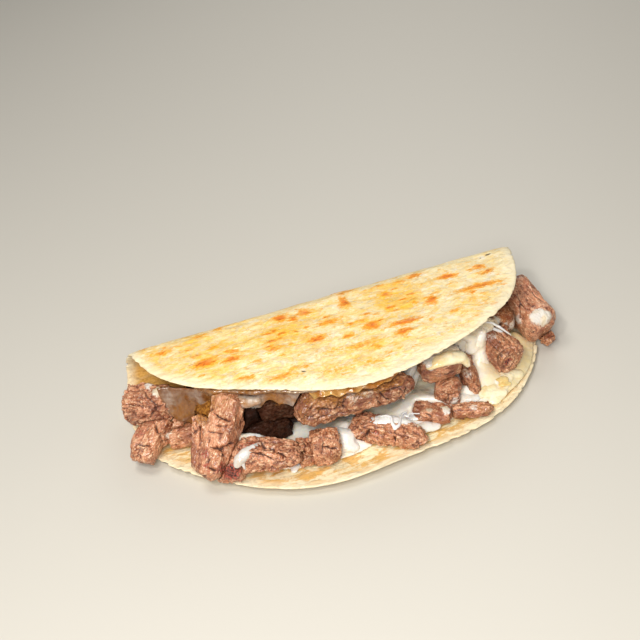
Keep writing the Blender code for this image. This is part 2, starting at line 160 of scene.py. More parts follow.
# Cuts and splits that show in each strip: half width, depth, points along it.
STEAK_CUTS = {
    "left_upper": [
        (0.5, 2.2, [(-94, 22, 27), (-92, 17.5, 27.3), (-91, 13, 27.5), (-88, 12, 27)]),
        (0.55, 2.2, [(-91, 13, 27.5), (-88.7, 8, 26), (-90.5, 7, 22), (-93.6, 9, 18.6)]),
        (0.4, 1.2, [(-100.4, 15, 26), (-97, 10.6, 25.8), (-92.7, 9.8, 26)]),
    ],
    "left_lower": [
        (0.6, 2.4, [(-92, 7, 17.7), (-92, 1.7, 16.3), (-90, 0.6, 9.7)]),
        (0.5, 1.6, [(-100.5, -0.7, 13.7), (-96.6, -3.2, 13)]),
    ],
    "tall_left": [
        (0.5, 2, [(-67.4, -12.4, 29), (-65.3, -17, 28), (-62.6, -19.7, 27.6), (-58.3, -19, 26.6)]),
        (0.35, 1.2, [(-68.4, -17.8, 26), (-64.7, -20, 26), (-59.6, -20.5, 26)]),
        (0.6, 2.6, [(-72.5, -23.4, 20), (-69, -26.2, 19.5), (-64.7, -25, 18.6), (-61.6, -22.5, 17.4)]),
        (0.6, 2.4, [(-70.3, -24.8, 20.6), (-68.6, -27.2, 18.4), (-66.8, -27.2, 14.4)]),
        (0.5, 1.8, [(-77.4, -27.5, 14.4), (-74, -31, 12.9), (-71, -31, 11.5)]),
        (0.35, 1, [(-71.8, -17.7, 24), (-66.4, -22, 24)]),
    ],
    "tall_side": [(0.5, 1.6, [(-73.5, -8.5, 21.3), (-75.4, -11.8, 17.7), (-76.4, -21, 18.7)])],
    "front_wedge": [
        (0.7, 2.6, [(-51.7, -22.6, 16.2), (-48.8, -32.7, 17.5), (-46.6, -36.7, 16.5), (-44, -38.3, 14.7)]),
        (0.5, 1.6, [(-57.5, -32, 18), (-52.3, -34.7, 15.9), (-48.2, -37.5, 13.2)]),
        (0.45, 1.4, [(-56, -27, 18.5), (-51, -30, 18), (-45, -34, 17)]),
    ],
    "long_top": [
        (0.8, 3, [(-25, -29, 28.3), (-22.4, -29.5, 25.2), (-18.6, -30.2, 24.8), (-14.5, -29.3, 23.6)]),
        (0.5, 1.6, [(-11.8, -27.8, 28.7), (-13.9, -29.6, 25.6), (-13, -29.2, 22.5)]),
        (0.45, 1.2, [(1.6, -29.8, 24.8), (3.4, -28, 18.2)]),
        (0.7, 2.6, [(9.8, -29, 18.3), (13, -29.3, 19.3), (15.6, -29.9, 22.9)]),
        (0.8, 2.6, [(-17.2, -30.1, 25.6), (-14.2, -29.5, 26.1), (-15.3, -29, 28.6)]),
        (0.8, 2.6, [(3, -30, 27.4), (4.4, -30, 24), (7, -29.4, 20)]),
        (0.6, 2, [(-26.5, -26.9, 29.3), (-29.8, -27.5, 26.6), (-31.7, -27.5, 22.7)]),
        (0.7, 2.4, [(8.2, -28.8, 18.2), (12.5, -29.5, 20.4), (15.4, -30, 23.1), (14.5, -29, 26)]),
        (0.5, 1.4, [(-31.3, -27.4, 25.3), (-28, -29.6, 24), (-24.8, -29.5, 25)]),
        (0.6, 2.2, [(-27.5, -28.5, 22.5), (-21, -29.5, 21.8), (-13, -29, 20.8)]),
        (0.5, 1.6, [(4, -29.5, 27), (9, -30, 26), (14, -29.5, 26.5)]),
    ],
    "front_cube": [
        (0.4, 1.3, [(-30, -32.5, 16.4), (-26, -34.4, 17), (-22.8, -36.7, 16.4)]),
        (0.4, 1.2, [(-28.4, -38.3, 14.8), (-24.2, -39.8, 13.2), (-20.5, -38.5, 12)]),
        (0.4, 1.2, [(-25.8, -30.6, 16), (-26.9, -38.2, 15.8), (-28.9, -39.3, 10.5)]),
    ],
    "front_sliver": [(0.6, 2, [(-33.6, -28, 13.7), (-35.2, -36.6, 14.3), (-36.5, -37.5, 9.7)])],
    "middle_tail": [
        (0.8, 2.6, [(-8.8, -33.2, 5), (-6.6, -33.5, 8.2), (-5, -33.9, 11.9)]),
        (0.7, 2, [(5.6, -38, 12.4), (3.6, -40.3, 10.3), (3.9, -41.4, 7)]),
        (0.5, 1.4, [(10.8, -44.9, 11.2), (7.3, -43.9, 9.5)]),
    ],
    "right_flat": [
        (0.45, 1.2, [(21.7, -31.8, 9.9), (24, -33.9, 7.9)]),
        (0.45, 1.2, [(31.5, -32, 9.4), (31.4, -36.6, 7.8)]),
    ],
    "right_cube": [
        (0.4, 1.2, [(31.4, -26.2, 14.2), (34.9, -27.6, 12.3), (40.5, -26.6, 11.2)]),
        (0.4, 1.2, [(34.9, -27.6, 12.3), (34.3, -27.2, 8.2)]),
    ],
    "right_capped": [(0.4, 0.9, [(30.9, -23.3, 22.5), (35.7, -23.7, 20.6), (41.6, -23.1, 20.2)])],
    "right_strip": [(0.45, 1.2, [(49, -12.5, 13.4), (49.1, -19.9, 11.2)])],
    "right_end": [
        (0.45, 1.4, [(66.7, -9.8, 20.8), (66.5, -15.6, 19.8), (67, -19.6, 16.1)]),
        (0.35, 1, [(68.2, -6.4, 21.5), (70.4, -12.4, 20.3), (71.5, -18.5, 18.4)]),
        (0.45, 1.4, [(63, -11.4, 19.3), (64.4, -17, 18.7), (64.5, -19.6, 14.8)]),
    ],
    "far_right": [
        (0.35, 0.9, [(87, 15, 25.2), (85.7, 7.8, 22.9), (88.5, 2, 21)]),
        (0.3, 0.7, [(92.7, 17.3, 26), (94.8, 10, 22.4), (97.7, 5.4, 20.4)]),
        (0.5, 1.4, [(85.7, 7.8, 22.9), (83, 4.6, 17.2)]),
    ],
}
# Rings around a hole in the steak: x, y, z, spacing, depth, reach.
RINGED = {"right_end": (67.3, -20, 13.5, 2.1, 0.4, 8.5)}
# Where light reaches the meat behind the strips: x, y, z, reach, strength.
LIT_FILLING = [(74, -1.5, 22, 9, 0.95), (80, 2, 20, 7, 0.9), (56, -6, 21, 6, 0.6)]
# Charred or blood-dark places on the steak: x, y, z, reach, strength, pit depth.
CHARRED_PLACES = [
    (-67.8, -33, 11.5, 4.8, 1, 0.8), (67.3, -20, 13.5, 2.2, 1, 3.4), (-76.5, -27.5, 13, 2.4, 0.55, 0.2),
    (-3, -36.5, 11, 1.6, 0.6, 1.4), (-76, -24.5, 18.5, 2.2, 0.6, 0.3), (91, -3.5, 13, 3, 0.45, 0.2),
    (-99, 5.5, 15.5, 2.6, 0.5, 0.3), (-57, -26.5, 18.5, 3.6, 0.5, 0.3),
]
# Golden brown grease on the steak, which also paints the shade under the tortilla's lip: x, y, z, reach,
# strength.
GREASE_AND_LIP_SHADE = [
    (-24, -25, 31, 6, 0.7), (-16, -27, 31, 6, 0.8), (-6, -28, 31.5, 6, 0.9), (4, -28, 31, 6, 0.8),
    (12, -27, 31, 5, 0.7), (-67, -10, 34, 6, 0.6), (-61.5, -13.5, 33.5, 5, 0.5), (92, 2, 9, 4, 0.4),
    (52, -16, 7, 4, 0.7), (31, -22, 21, 4, 0.45), (-31, -27, 25, 4, 0.5), (-21, -38, 5, 6, 0.5),
    (47, -36, 8, 5, 0.5), (18, -43, 8, 5, 0.35), (-73, 0, 26, 5, 0.8), (-69, -5, 24, 5.5, 1),
    (-36, -14, 27, 5, 0.6),
]
# Cheese that clings to the steak: x, y, z, reach, strength.
CLINGING_CHEESE = [
    (92, -2.5, 19.5, 4.8, 0.85), (30, -20, 27.5, 3.6, 1), (36, -19, 28.4, 5, 1), (42, -18.5, 28, 5, 1),
    (46, -19, 25, 3, 1), (-48, -10.4, 28, 3.4, 0.8), (-52, -8.6, 29, 3.4, 0.85), (54, -6, 22, 6, 1),
    (59, -5.5, 24, 5, 1), (56, -6, 17, 4, 0.9), (64.3, -4.6, 25.6, 4, 0.75), (70, -3, 24.5, 4, 0.6),
    (70, -3, 25, 3.6, 0.8), (78, 0.8, 18, 2.6, 0.6), (74, -2, 20, 2.4, 0.5), (-86.3, 2, 10.5, 2.2, 0.9),
    (26.7, -7, 13.5, 5, 0.9), (29, -6, 7, 5, 0.9), (-89.6, 20, 27.5, 2.4, 0.7),
    (-86.3, 14.5, 28.2, 2.6, 0.75), (-83, 10, 27, 2.6, 0.75), (38, -25.5, 8, 2.8, 0.8),
    (48, -17, 12, 3, 0.5), (80, 4, 17, 4.5, 0.7), (64, -8, 22, 3.2, 0.5), (31.4, -33, 9, 2, 0.8),
    (60, -6, 12, 4, 0.9), (17, -37, 8, 3.5, 0.9), (-8, -29.5, 27.5, 4, 0.5), (-2, -30, 28, 3, 0.45),
    (24, -31, 10.5, 1.8, 0.6), (43, -36, 8.5, 1.8, 0.55), (-17, -31.5, 11, 2, 0.7),
]

# The melted cheese, remeshed finely enough for its ripples.
CHEESE_VOXEL = 0.65 * MM
POOL_SMOOTHING = 8
ROOF_SMOOTHING = 6
# Places where the pool is drawn up between the strips: x, y, reach, height.
POOL_RISES = [
    (56.5, -9, 5, 7), (57, -18, 6, 3), (47, -22, 4, 3.5), (75, -6, 5, 2), (22, -20, 8, 2.5),
    (8, -24, 6, 2), (30, -25, 4, 2.5), (80, 4, 5, 4), (-30, -24, 4, 2),
]
# Where the pool turns yellower towards its right end: start and width.
POOL_YELLOWS = (48, 18)
# Strands are joined balls, this many from each point to the next.
STRAND_STEPS = 6
STRAND_VOXEL = 0.3 * MM
STRAND_SMOOTHING = 4
# Strings, drops and puddles of melted cheese: name, kind, how flat, then points with a radius each.
CHEESE_STRANDS = [
    ("drop_left_tail", "dim", 1,
     [(-61.5, -31.2, 14.5, 1.5), (-61.6, -32.8, 13.2, 1), (-61.4, -34, 11.8, 0.5)]),
    # The two webs are white films on the right end's left side, partly painted with its wet glints.
    ("web_back", "white", 1,
     [(62.4, -4.7, 28, 0.5), (65.9, -4.6, 26.4, 0.7), (69, -7, 24.4, 0.7), (73, -9.6, 20.4, 0.5)]),
    ("web_front", "white", 1, [(63.7, -3.6, 24.6, 0.8), (69, -6, 21.6, 0.9), (74, -7.3, 16.4, 0.7)]),
    ("drop_left", "dim", 0.9,
     [(-52.5, -27.2, 17, 0.7), (-55.5, -29, 17.2, 1.7), (-59, -30.2, 16.6, 2.6),
      (-62.4, -31.2, 15, 2.7), (-64, -32.2, 13.4, 1.8)]),
    ("mound_middle", "white", 0.7,
     [(-17, -27, 8.4, 4), (-14.4, -28.5, 7.6, 4.4), (-15.5, -31.5, 5.4, 4.8), (-13, -33.2, 4.4, 3.4)]),
    ("mass_right", "melted", 0.8,
     [(51.5, -6.5, 25, 2.2), (55.5, -6.4, 22, 2.8), (54.5, -7, 17, 3.2), (58, -7.5, 19, 3),
      (60.5, -6, 24, 2.2), (57.6, -8, 14, 3.4), (57.4, -9.5, 10.5, 4.2), (57, -12, 7, 5),
      (57.5, -16, 5, 5.4), (59, -21, 4.2, 5.2)]),
    ("cap_right", "cream", 0.6,
     [(29.5, -21.2, 26, 2.4), (33.5, -21, 27, 3.8), (38.5, -20.8, 27.2, 4.3), (43, -20.8, 26, 3.8),
      (45.6, -21.4, 23.8, 2.4), (46.6, -22.2, 21.2, 1.4)]),
    ("puddle_behind", "bright", 0.4,
     [(-1.5, -29.4, 12, 2.8), (2, -30.6, 12.4, 3.4), (6, -32.4, 12, 3.2), (10, -34.4, 10.8, 3),
      (13.5, -35.4, 9, 2.6)]),
    ("puddle_strip", "white", 0.4, [(43.5, -24.5, 6, 3.4), (47, -25.5, 5.4, 4), (51, -23, 5.6, 4)]),
    # A brighter puddle on the pool, painted light where the long strip shades it.
    ("painted_light_puddle", "bright", 0.3,
     [(9, -22, 6, 4), (14, -24.5, 6.4, 4.4), (19, -27, 6.4, 4), (24, -28, 6, 3.4)]),
    # Strings of cheese in a bright white that paints the highlight lines along the film's edges.
    ("string_middle", "bright", 1,
     [(2, -29.5, 13.6, 0.4), (4.5, -30.5, 14, 0.6), (6, -32.5, 14, 0.65), (5.2, -36, 13.6, 0.8),
      (5.4, -38.8, 13, 1), (7.8, -37.5, 12.8, 0.8), (9.8, -33.5, 12.4, 0.65), (12, -30.2, 12, 0.6),
      (14.4, -29, 11.6, 0.4)]),
    ("string_right", "bright", 1,
     [(12.5, -31, 11.4, 0.45), (13.8, -32, 11, 0.6), (15.1, -30.3, 11, 0.5), (19.2, -31.3, 10.2, 0.4)]),
    ("lip_drip", "white", 0.8,
     [(12, -25, 33, 1), (16, -24.4, 32.4, 1.6), (20, -23.6, 32, 1.7), (23.5, -22.6, 32.6, 1)]),
    ("fold_left", "film", 0.8,
     [(-61, -6.4, 30.6, 2.2), (-56.5, -9, 29.4, 3), (-52, -11.8, 28.4, 3.2), (-48, -14.2, 29.4, 2.4)]),
    ("puddle_far", "cream", 0.4,
     [(57, -15, 6.6, 4.5), (62, -17, 6.2, 4.5), (57, -21, 6, 5), (52, -25, 5.6, 4.6),
      (59, -26, 4.4, 4.6), (55, -29.5, 3.6, 3.6), (62, -23, 5, 4), (67, -18, 5.4, 4),
      (71.5, -18.5, 4.6, 3.4)]),
    ("puddle_tail", "white", 0.5,
     [(12, -34.5, 6, 3), (16, -35.5, 5.4, 3.4), (20.5, -35, 4.8, 3.4), (25, -35.6, 4, 2.4)]),
    ("gap_right", "white", 0.8,
     [(19, -13, 9, 3.4), (23, -9.5, 11, 3.6), (26.5, -8, 15, 3.2), (25.5, -9, 19, 2.6),
      (21, -11, 15, 3.2)]),
    ("flake_right", "crisp", 0.3,
     [(60.5, -21.5, 7.6, 2), (63.5, -22.4, 7.2, 2.2), (61.5, -24.6, 6.8, 2.2), (64.5, -25, 6.2, 1.5)]),
    ("under_hole", "white", 0.7,
     [(-57.5, -17.5, 14.4, 2.4), (-53.5, -18.5, 13.6, 2.6), (-49, -20, 12, 2.2)]),
    ("triangle", "white", 0.45, [(-41, -31, 5, 2), (-39.4, -33.4, 4.2, 2.2), (-40.7, -35.4, 3.4, 1.6)]),
]
# A film's mesh: rows from each given row to the next, width of a column, and rounds of smoothing.
FILM_ROWS = 12
FILM_COLUMN = 0.55
FILM_SMOOTHING = 14
# Hanging films of melted cheese: name, kind, thickness, how browned they are at the top and at the bottom,
# browning that also stands for painted shade where they hang in shadow, then rows of points from the top
# down.
CHEESE_FILMS = [
    ("curtain_left", "film", 1.4, 1, 0.6, [
        [(-87, 8.5, 33.5), (-79.8, 6.6, 33), (-73, 3, 33), (-63.5, -3.2, 33)],
        [(-86.1, 8, 26), (-79.9, 6, 25), (-74.5, 3, 24), (-66.9, -1, 24)],
        [(-85.3, 7.1, 19), (-79.9, 5, 15), (-75.8, 2.8, 12), (-69, -1, 8)],
    ]),
    ("curtain_middle", "film", 1.3, 1, 0.45, [
        [(-60, -4, 33), (-50, -10, 33), (-40, -15.1, 33), (-29, -20.6, 33)],
        [(-58, -5, 29), (-47.9, -11.4, 29), (-40.7, -15.2, 29.5), (-30.7, -20.5, 29.5)],
        [(-56, -7.1, 25), (-50, -11, 24.8), (-43, -14.6, 27), (-33.5, -20, 26)],
    ]),
    ("under_lip", "gold", 2, 0.7, 0.5, [
        [(-27, -22, 33.5), (-15.7, -25, 33.5), (-6.8, -26, 33.8), (3.2, -26, 34), (18, -23, 34)],
        [(-25, -26, 31.2), (-14.6, -29, 30.7), (-6.8, -30, 30.9), (2, -30.4, 31.3), (13.3, -28, 31.6)],
    ]),
]

# Kinds of melted cheese: the material's name, its pale and warm colours, and how much browning shows in it.
CHEESE_KINDS = {
    "melted": ("melted_white_cheese", (255, 247, 235), (253, 239, 214), 0.62),
    "cream": ("yellowed_cheese", (250, 238, 204), (242, 218, 164), 0),
    "greasy": ("greasy_cheese", (206, 190, 164), (172, 122, 62), 0.95),
    "white": ("stretched_white_cheese", (234, 232, 226), (230, 220, 200), 0),
    "crisp": ("crisped_cheese", (246, 222, 162), (228, 188, 112), 0),
    # The curtains' film colours are darkened with painted shade, as they hang in shadow.
    "film": ("browned_and_shaded_cheese_film", (194, 178, 162), (162, 110, 54), 0.8),
    "gold": ("golden_cheese_film", (226, 180, 104), (180, 118, 46), 0.6),
    # Whiter cheese, partly painted highlight: thin strings of it stand for highlight lines along film edges,
    # and a puddle of it lightens the pool where the long strip shades it.
    "bright": ("white_cheese_and_painted_highlight", (248, 247, 243), (243, 238, 230), 0),
    "dim": ("cooled_white_cheese", (216, 213, 208), (208, 198, 186), 0),
}
# Hanging films' pattern is drawn out downwards, by this factor on each point's height.
STREAK_STRETCH = {"film": 0.8, "gold": 0.8}
# The colour of the browning, where it isn't the usual one.
BROWNING = {"melted": (246, 216, 138)}
TOASTED_BROWN = (108, 62, 24)

# Disc lights, in metres and watts: name, place, diameter, power, colour. All of them point at one place.
WARM_WHITE = (1, 0.98, 0.95)
LIGHTS = [
    ("key", (-0.22, 0.02, 0.8), 0.35, 2.1, WARM_WHITE),
    ("front", (-0.2, -0.54, 0.5), 0.28, 4.1, (1, 0.97, 0.93)),
    ("low", (0.02, -0.62, 0.16), 0.4, 0.22, WARM_WHITE),
    ("glint", (-0.28, -0.35, 0.62), 0.07, 1.5, WARM_WHITE),
    ("back", (0.25, 0.6, 0.45), 0.4, 0.9, WARM_WHITE),
]
LIT_PLACE = (0, 0, 0.02)
SKY_COLOUR = (1, 0.99, 0.97, 1)
SKY_STRENGTH = 0.2
FLOOR_COLOUR = (206, 202, 192)
FLOOR_REACH = 1.6
FLOOR_DROP = 0.15 * MM

# The camera: where it stands, and its right, up and forward directions.
CAMERA_PLACE = (-0.10952, -0.44906, 0.38269)
CAMERA_RIGHT = (0.94648, -0.29796, -0.12408)
CAMERA_UP = (0.27262, 0.53221, 0.80152)
CAMERA_FORWARD = (0.17278, 0.79245, -0.58496)
CAMERA_LENS = 73.125
CAMERA_SENSOR = 36


def smoothstep(t):
    t = np.clip(t, 0, 1)
    return t * t * (3 - 2 * t)


def bell(t):
    """1 at 0, falling smoothly to nearly 0 at 2."""
    return np.exp(-(t**2))


def hashed(cells, seed):
    """A number from 0 to 1 for each whole-number cell of an (n, 3) array."""
    mixed = cells[:, 0] * 73856093 ^ cells[:, 1] * 19349663 ^ cells[:, 2] * 83492791 ^ seed * 668265263
    mixed = mixed & 0xFFFFFFFF
    for _ in range(2):
        mixed = ((mixed ^ (mixed >> 16)) * 73244475) & 0xFFFFFFFF
    return (mixed ^ (mixed >> 16)) / 0xFFFFFFFF


def rough(points, seed):
    """Smooth gradient noise, about -1 to 1, at each point."""
    base = np.floor(points).astype(np.int64)
    inside = points - base
    fade = inside**3 * (inside * (inside * 6 - 15) + 10)
    total = np.zeros(len(points))
    for corner in np.ndindex(2, 2, 2):
        cells = base + corner
        weight = np.prod(np.where(corner, fade, 1 - fade), axis=1)
        slopes = np.stack([hashed(cells, seed + 31 * axis) for axis in range(3)], -1) * 2 - 1
        total += weight * ((inside - corner) * slopes).sum(1)
    return total * 1.6


def layered(points, octaves, seed):
    total = np.zeros(len(points))
    for octave in range(octaves):
        total += rough(points * 2.03**octave, seed + 7 * octave) / 2**octave
    return total


def nearest_two(points, seed):
    """Distances from each point to the nearest and second nearest of scattered seeds, one a cell, and
    the height of a tilted plane that each seed carries, which breaks at the borders between seeds."""
    base = np.floor(points).astype(np.int64)
    first = np.full(len(points), 9)
    second = np.full(len(points), 9)
    tilt = np.zeros(len(points))
    for offset in np.ndindex(3, 3, 3):
        cells = base + offset - 1
        seeds = cells + np.stack([hashed(cells, seed + 17 * axis) for axis in range(3)], -1)
        slopes = np.stack([hashed(cells, seed + 5 + 17 * axis) for axis in range(3)], -1) * 2 - 1
        away = np.linalg.norm(points - seeds, axis=1)
        second = np.minimum(second, np.maximum(first, away))
        tilt = np.where(away < first, ((points - seeds) * slopes).sum(1), tilt)
        first = np.minimum(first, away)
    return first, second, tilt


def smooth_noise(x, y, z):
    """The noise that the solid tortilla's waves come from."""
    points = np.stack(np.broadcast_arrays(x, y, z), -1)
    values = [noise.noise(Vector(point)) for point in points.reshape(-1, 3)]
    return np.array(values).reshape(points.shape[:-1])


def rim_radius(angle):
    waves = sum(share * np.cos(count * angle - math.radians(turn)) for count, share, turn in RIM_WAVES)
    return TORTILLA_RADIUS * (1 + waves)


def fold_profile(s):
    """Where the folded sheet's mid-surface is at arc length s from the fold: y, z and its heading."""
    half_arc = FOLD_RADIUS * math.pi / 2
    steps = np.linspace(-1.3 * TORTILLA_RADIUS, 1.3 * TORTILLA_RADIUS, 2001)
    turned = math.pi - UPPER_RISE
    along_upper = (steps - half_arc) / TORTILLA_RADIUS
    in_arc = turned * np.clip((steps + half_arc) / (2 * half_arc), 0, 1)
    heading = np.where(steps < half_arc, in_arc, turned + (UPPER_RISE + UPPER_DROOP) * along_upper)
    middle = (heading[1:] + heading[:-1]) / 2
    step = steps[1] - steps[0]
    y = np.concatenate([[0], np.cumsum(np.cos(middle) * step)])
    z = np.concatenate([[0], np.cumsum(np.sin(middle) * step)])
    y += FOLD_START_Y - np.interp(-half_arc, steps, y)
    return np.interp(s, steps, y), np.interp(s, steps, z), np.interp(s, steps, heading)


def sheet_share(x, s):
    """How near the rim a point of the flat sheet is: 0 at the centre, 1 at the rim."""
    angle = np.arctan2(s + FOLD_TO_CENTRE, x)
    return np.hypot(x, s + FOLD_TO_CENTRE) / rim_radius(angle), angle


def sheet_point(x, s, inward):
    """Points of the folded sheet. inward is the distance from the mid-surface towards the filling."""
    y, z, heading = fold_profile(s)
    share, angle = sheet_share(x, s)
    upper = smoothstep((s - FOLD_RADIUS) / (2 * FOLD_RADIUS))
    lower = smoothstep(-s / FOLD_RADIUS)
    wave = UPPER_WAVE * smooth_noise(x / UPPER_WAVE_LENGTH + 3.1, s / UPPER_WAVE_LENGTH, 0.7)
    uneven = 1 + LIP_UNEVENNESS * smooth_noise(1.7 * np.cos(angle), 1.7 * np.sin(angle), 5.3)
    lift = LIP_LIFT * uneven * np.clip((share - LIP_START) / (1 - LIP_START), 0, 1.1) ** 2
    z = z + TORTILLA_THICKNESS / 2 + wave * upper + lift * lower
    return np.stack([x, y - np.sin(heading) * inward, z + np.cos(heading) * inward], -1)


def square_to_disc(cells):
    u, v = np.meshgrid(*(np.linspace(-1, 1, count + 1) for count in cells), indexing="ij")
    x, y = u * np.sqrt(1 - v * v / 2), v * np.sqrt(1 - u * u / 2)
    return x, y, np.hypot(x, y)


def new_object(name, mesh):
    obj = bpy.data.objects.new(name, mesh)
    bpy.context.scene.collection.objects.link(obj)
    return obj


def distance(points, x, y, z):
    return np.linalg.norm(points - (x, y, z), axis=1)


def surface_of(mesh):
    """Each vertex's position in millimetres, and its normal."""
    points, outward = (np.empty(len(mesh.vertices) * 3) for _ in range(2))
    mesh.vertices.foreach_get("co", points)
    mesh.vertices.foreach_get("normal", outward)
    return points.reshape(-1, 3) / MM, outward.reshape(-1, 3)


def place(mesh, points):
    """Moves a mesh's vertices to points in millimetres."""
    mesh.vertices.foreach_set("co", np.ascontiguousarray(points * MM, dtype=np.float32).ravel())
    mesh.update()


def finished(obj, fields, material, slot, *nodes):
    """Gives a piece its material and the fields that this reads, which are a number or a vector at each
    vertex, then its body and the solids that it stands for. The slot argument is not used."""
    for name, values in fields.items():
        values = np.asarray(values, dtype=np.float32)
        kind, key = ("FLOAT", "value") if values.ndim == 1 else ("FLOAT_VECTOR", "vector")
        field = obj.data.attributes.new(name, kind, "POINT")
        field.data.foreach_set(key, values.ravel())
    obj.data.materials.clear()
    obj.data.materials.append(material)
    obj.data.shade_smooth()
    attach(obj, "root")
    if nodes:
        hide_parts(*nodes)


# Materials.


class Look:
    """A node material that is put together with short calls."""

    def __init__(self, name):
        self.material = bpy.data.materials.new(name)
        self.material.use_nodes = True
        self.nodes = self.material.node_tree.nodes
        self.links = self.material.node_tree.links
        self.shader = self.nodes["Principled BSDF"]

    def set(self, **sockets):
        """Sets the shader's sockets, named with _ for each space."""
        for name, value in sockets.items():
            self.put(self.shader.inputs[name.replace("_", " ")], value)

    def put(self, socket, value):
        if isinstance(value, bpy.types.NodeSocket):
            self.links.new(value, socket)
        elif value is not None:
            socket.default_value = value

    def add(self, kind, inputs, **settings):
        node = self.nodes.new("ShaderNode" + kind)
        for name, value in settings.items():
            setattr(node, name, value)
        for name, value in inputs.items():
            self.put(node.inputs[name], value)
        return node

    def field(self, name, vector=False):
        return self.add("Attribute", {}, attribute_name=name).outputs["Vector" if vector else "Fac"]

    def fields(self, names):
        return [self.field(name) for name in names.split()]

    def stretched(self, vector, factors):
        return self.add("VectorMath", {0: vector, 1: factors}, operation="MULTIPLY").outputs[0]

    def noise(self, vector, *settings):
        """Noise along vector, with its scale, detail, roughness and distortion, as many as are given."""
        names = ("Scale", "Detail", "Roughness", "Distortion")
        return self.add("TexNoise", {"Vector": vector, **dict(zip(names, settings))}).outputs["Fac"]

    def math(self, operation, a, b=None, clamp=False):
        return self.add("Math", {0: a, 1: b}, operation=operation, use_clamp=clamp).outputs[0]

    def times(self, a, b, clamp=False):
        return self.math("MULTIPLY", a, b, clamp)

    def plus(self, a, b, clamp=False):
        return self.math("ADD", a, b, clamp)

    def span(self, value, low, high, to_low=0, to_high=1):
        """Maps value smoothly from low..high to to_low..to_high."""
        inputs = {"Value": value, "From Min": low, "From Max": high, "To Min": to_low, "To Max": to_high}
        return self.add("MapRange", inputs, interpolation_type="SMOOTHSTEP").outputs["Result"]

    def blend(self, factor, a, b):
        """Mixes two colours, each a socket or three numbers from 0 to 255 as on screen."""
        node = self.add("Mix", {}, data_type="RGBA")
        sockets = {socket.name: socket for socket in node.inputs if socket.enabled}
        self.put(sockets["Factor"], factor)
        for name, colour in (("A", a), ("B", b)):
            is_socket = isinstance(colour, bpy.types.NodeSocket)
            self.put(sockets[name], colour if is_socket else (*linear(*colour), 1))
        return [socket for socket in node.outputs if socket.enabled][0]

    def glow_within(self, weight, radius):
        self.set(Subsurface_Weight=weight, Subsurface_Radius=radius, Subsurface_Scale=1)

    def bump(self, height, strength, distance):
        bump = self.add("Bump", {"Strength": strength, "Distance": distance, "Height": height})
        self.set(Normal=bump.outputs[0])


def linear(red, green, blue):
    """A colour given as 0 to 255 on screen, as the renderer's linear one."""
    def one(value):
        value /= 255
        return value / 12.92 if value <= 0.04045 else ((value + 0.055) / 1.055) ** 2.4
    return one(red), one(green), one(blue)


def start_look(name):
    """A new material, and the calls of it that the materials below use most."""
    look = Look(name)
    return look, look.blend, look.span, look.times, look.plus


def tortilla_look():
    look, mix, span, times, plus = start_look("toasted_flour_tortilla")
    sheet = look.field("sheet", vector=True)
    toast, golden, share, inner, speck, grease = look.fields("toast golden share inner speck grease")

    def drawn_out(x, y, *settings):
        return look.noise(look.stretched(sheet, (x, y, 1)), *settings)

    streaks = drawn_out(0.08, 0.34, 1, 6, 0.65, 0.5)
    fine = drawn_out(0.55, 1, 1, 4, 0.7)
    blotch = drawn_out(0.1, 0.17, 1, 6, 0.68, 0.5)
    dusty = drawn_out(0.09, 0.15, 1.7, 6, 0.72, 0.6)
    fleck = drawn_out(0.3, 0.55, 1, 4, 0.65, 0.3)
    crease = drawn_out(0.11, 0.3, 1, 5, 0.6, 0.8)
    crease = span(look.math("ABSOLUTE", look.math("SUBTRACT", crease, 0.5)), 0, 0.028, 1, 0)
    cream = mix(span(fine, 0.35, 0.65), (252, 237, 196), (247, 221, 158))
    gold = mix(span(fine, 0.35, 0.65), (249, 205, 84), (242, 182, 52))
    amount = plus(times(golden, 1.25), span(blotch, 0.38, 0.62, -0.34, 0.34))
    amount = plus(amount, span(streaks, 0.4, 0.62, -0.15, 0.15))
    outer = mix(times(amount, 0.95, clamp=True), cream, gold)
    flecks = times(span(fleck, 0.55, 0.64), plus(golden, 0.15), clamp=True)
    dusted = times(span(dusty, 0.52, 0.64, 0, 0.75), span(golden, 0.1, 0.9, 1, 0.3))
    outer = mix(times(flecks, 0.6), outer, (243, 172, 44))
    outer = mix(dusted, outer, (251, 242, 220))
    outer = mix(times(crease, 0.4), outer, (244, 230, 200))
    edged = plus(toast, span(fine, 0.3, 0.7, -0.18, 0.18))
    browned = mix(span(edged, 0.5, 0.9), (250, 176, 40), (234, 122, 12))
    outer = mix(span(edged, 0.26, 0.66, 0, 0.95), outer, browned)
    scorched = times(span(edged, 0.6, 0.95), span(fleck, 0.5, 0.62))
    outer = mix(times(scorched, 0.7), outer, (186, 92, 8))
    outer = mix(span(speck, 0.3, 0.7), outer, (52, 38, 22))
    banded = plus(streaks, span(blotch, 0.4, 0.6, -0.16, 0.2))
    pale = mix(span(banded, 0.36, 0.7), (253, 239, 198), (231, 182, 98))
    pale = mix(times(crease, 0.35), pale, (222, 186, 122))
    greasy = mix(span(fine, 0.3, 0.7), (234, 184, 100), (216, 158, 74))
    inside = mix(grease, pale, greasy)
    both = mix(inner, outer, inside)
    flour = plus(span(share, 0.93, 0.995), span(streaks, 0.3, 0.7, -0.2, 0.2))
    colour = mix(times(flour, 0.75, clamp=True), both, (252, 238, 204))
    look.set(Base_Color=colour, Roughness=span(streaks, 0.3, 0.7, 0.55, 0.75), Specular_IOR_Level=0.3)
    look.glow_within(0.05, (0.0015, 0.001, 0.0006))
    height = plus(times(streaks, 0.6), times(fine, 0.7))
    height = look.math("SUBTRACT", height, times(crease, 0.35))
    look.bump(height, 0.7, 0.0007)
    return look.material


